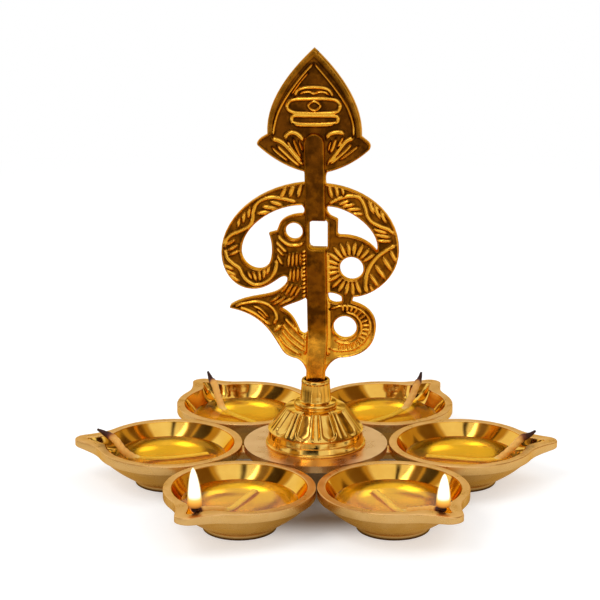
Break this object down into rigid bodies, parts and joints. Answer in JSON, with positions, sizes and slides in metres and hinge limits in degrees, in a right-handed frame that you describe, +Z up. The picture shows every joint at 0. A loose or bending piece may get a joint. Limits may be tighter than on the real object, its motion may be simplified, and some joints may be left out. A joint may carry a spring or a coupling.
{
  "type": "six-wick lamp stand",
  "caption": "Brass oil-lamp stand: spouted bowls with cotton wicks in a ring round a disc, a fluted bell and a tall openwork emblem plate.",
  "frame": {"origin": "floor level under the middle of the disc, on the axis of the bell", "axes": "+Z up along the bell, +X along the two side bowls, the front of the emblem faces -Y"},
  "size_m": [0.2137, 0.1843, 0.1934],
  "materials": {
    "bowl_brass": "cast brass, turned and polished inside, rims matt",
    "bell_brass": "cast brass, turned and polished bright",
    "emblem_brass": "cast brass with engraved lines, darkened in the sunk parts",
    "disc_brass": "rolled brass plate, matt",
    "fastener_brass": "turned brass",
    "cotton": "twisted cotton soaked in oil, burnt at the tip",
    "oil": "clear amber lamp oil",
    "flame": "small steady flame"
  },
  "bodies": {
    "stand": {"emblem": "emblem_brass", "base_bell": "bell_brass", "base_disc": "disc_brass", "tie_washer": "fastener_brass", "tie_nut": "fastener_brass", "tie_rod": "fastener_brass", "bowl_right": "bowl_brass", "bowl_back_right": "bowl_brass", "bowl_back_left": "bowl_brass", "bowl_left": "bowl_brass", "bowl_front_left": "bowl_brass", "bowl_front_right": "bowl_brass", "ear_screw_right": "fastener_brass", "ear_screw_back_right": "fastener_brass", "ear_screw_back_left": "fastener_brass", "ear_screw_left": "fastener_brass", "ear_screw_front_left": "fastener_brass", "ear_screw_front_right": "fastener_brass"},
    "wick_right": {"wick_right": "cotton"},
    "wick_back_right": {"wick_back_right": "cotton"},
    "wick_back_left": {"wick_back_left": "cotton"},
    "wick_left": {"wick_left": "cotton"},
    "wick_front_left": {"wick_front_left": "cotton"},
    "wick_front_right": {"wick_front_right": "cotton"}
  },
  "joints": [
    {"name": "wick_right_lift", "type": "slide", "parent": "stand", "child": "wick_right", "axis": [0, 0, 1], "range_m": [0, 0.03]},
    {"name": "wick_back_right_lift", "type": "slide", "parent": "stand", "child": "wick_back_right", "axis": [0, 0, 1], "range_m": [0, 0.03]},
    {"name": "wick_back_left_lift", "type": "slide", "parent": "stand", "child": "wick_back_left", "axis": [0, 0, 1], "range_m": [0, 0.03]},
    {"name": "wick_left_lift", "type": "slide", "parent": "stand", "child": "wick_left", "axis": [0, 0, 1], "range_m": [0, 0.03]},
    {"name": "wick_front_left_lift", "type": "slide", "parent": "stand", "child": "wick_front_left", "axis": [0, 0, 1], "range_m": [0, 0.03]},
    {"name": "wick_front_right_lift", "type": "slide", "parent": "stand", "child": "wick_front_right", "axis": [0, 0, 1], "range_m": [0, 0.03]}
  ]
}
